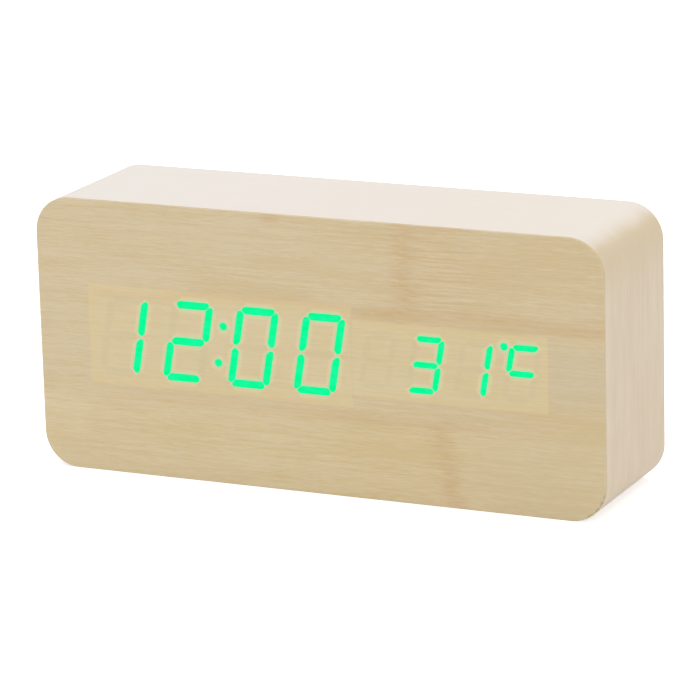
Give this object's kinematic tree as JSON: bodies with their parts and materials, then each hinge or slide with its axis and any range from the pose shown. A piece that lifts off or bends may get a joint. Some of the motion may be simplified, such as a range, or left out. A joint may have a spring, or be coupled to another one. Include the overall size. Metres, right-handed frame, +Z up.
{
  "type": "digital alarm clock",
  "caption": "Bedside clock in a rounded wood-look block; slanted glowing digits for time and temperature shine through the front film; setting keys, battery bay and supply socket at the back.",
  "frame": {"origin": "middle of the clock's underside, on the surface it stands on", "axes": "+Z up, +X along the front to the right as the display is read, +Y from the display to the back"},
  "size_m": [0.15, 0.04, 0.069],
  "materials": {
    "bamboo_film": "printed bamboo film, satin, fine level grain",
    "bamboo_wrap": "bamboo foil wrap, satin, very fine grain",
    "bamboo_back": "bamboo foil on board, satin",
    "fibreboard": "raw fibreboard, matt",
    "reflector_plastic": "white moulded, matt",
    "display_glow": "milky diffuser, lit green",
    "circuit_board": "green solder mask, satin",
    "moulded_black": "black moulded, matt",
    "tinned_can": "tinned metal can, satin",
    "nickel_plate": "nickel plated, bright",
    "screw_steel": "zinc plated steel, satin",
    "panel_black": "black moulded, fine spark texture",
    "cell_jacket": "dark foil jacket with a pale band, glossy",
    "key_rubber": "dark grey rubber, matt",
    "plunger_grey": "grey moulded, satin",
    "socket_black": "black moulded, smooth",
    "red_wire": "red wire sleeve, satin",
    "black_wire": "black wire sleeve, satin",
    "ribbon_grey": "grey ribbon cable, satin"
  },
  "bodies": {
    "case": {"front_film": "bamboo_film", "case_sleeve": "bamboo_wrap", "front_board": "fibreboard", "back_board": "bamboo_back", "clock_reflector": "reflector_plastic", "clock_light_guide": "display_glow", "temperature_reflector": "reflector_plastic", "temperature_light_guide": "display_glow", "display_board": "circuit_board", "display_spacer_1": "reflector_plastic", "display_spacer_2": "reflector_plastic", "display_spacer_3": "reflector_plastic", "display_spacer_4": "reflector_plastic", "display_screw_1": "screw_steel", "display_screw_2": "screw_steel", "display_screw_3": "screw_steel", "display_screw_4": "screw_steel", "controller_chip": "moulded_black", "crystal": "tinned_can", "backup_cell_holder": "moulded_black", "backup_cell": "nickel_plate", "filter_capacitor": "tinned_can", "buzzer": "moulded_black", "microphone": "tinned_can", "temperature_sensor": "moulded_black", "rear_panel": "panel_black", "cell_1": "cell_jacket", "cell_2": "cell_jacket", "cell_3": "cell_jacket", "bridge_contact_left": "nickel_plate", "negative_terminal": "nickel_plate", "positive_terminal": "nickel_plate", "bridge_contact_right": "nickel_plate", "set_switch": "moulded_black", "up_switch": "moulded_black", "down_switch": "moulded_black", "key_board": "circuit_board", "key_board_screw_1": "screw_steel", "key_board_screw_2": "screw_steel", "supply_socket": "socket_black", "panel_screw_1": "screw_steel", "panel_screw_2": "screw_steel", "panel_screw_3": "screw_steel", "panel_screw_4": "screw_steel", "positive_lead": "red_wire", "negative_lead": "black_wire", "key_ribbon": "ribbon_grey"},
    "door": {"battery_door": "panel_black"},
    "set_button": {"set_key": "key_rubber", "set_switch_plunger": "plunger_grey"},
    "up_button": {"up_key": "key_rubber", "up_switch_plunger": "plunger_grey"},
    "down_button": {"down_key": "key_rubber", "down_switch_plunger": "plunger_grey"}
  },
  "joints": [
    {"name": "door_hinge", "type": "hinge", "parent": "case", "child": "door", "pos_m": [-0.0213, 0.0185, 0.05185], "axis": [1, 0, 0], "range_deg": [0, 100]},
    {"name": "set_press", "type": "slide", "parent": "case", "child": "set_button", "axis": [0, -1, 0], "range_m": [0, 0.0005], "stiffness_N_per_m": 1000},
    {"name": "up_press", "type": "slide", "parent": "case", "child": "up_button", "axis": [0, -1, 0], "range_m": [0, 0.0005], "stiffness_N_per_m": 1000},
    {"name": "down_press", "type": "slide", "parent": "case", "child": "down_button", "axis": [0, -1, 0], "range_m": [0, 0.0005], "stiffness_N_per_m": 1000}
  ]
}
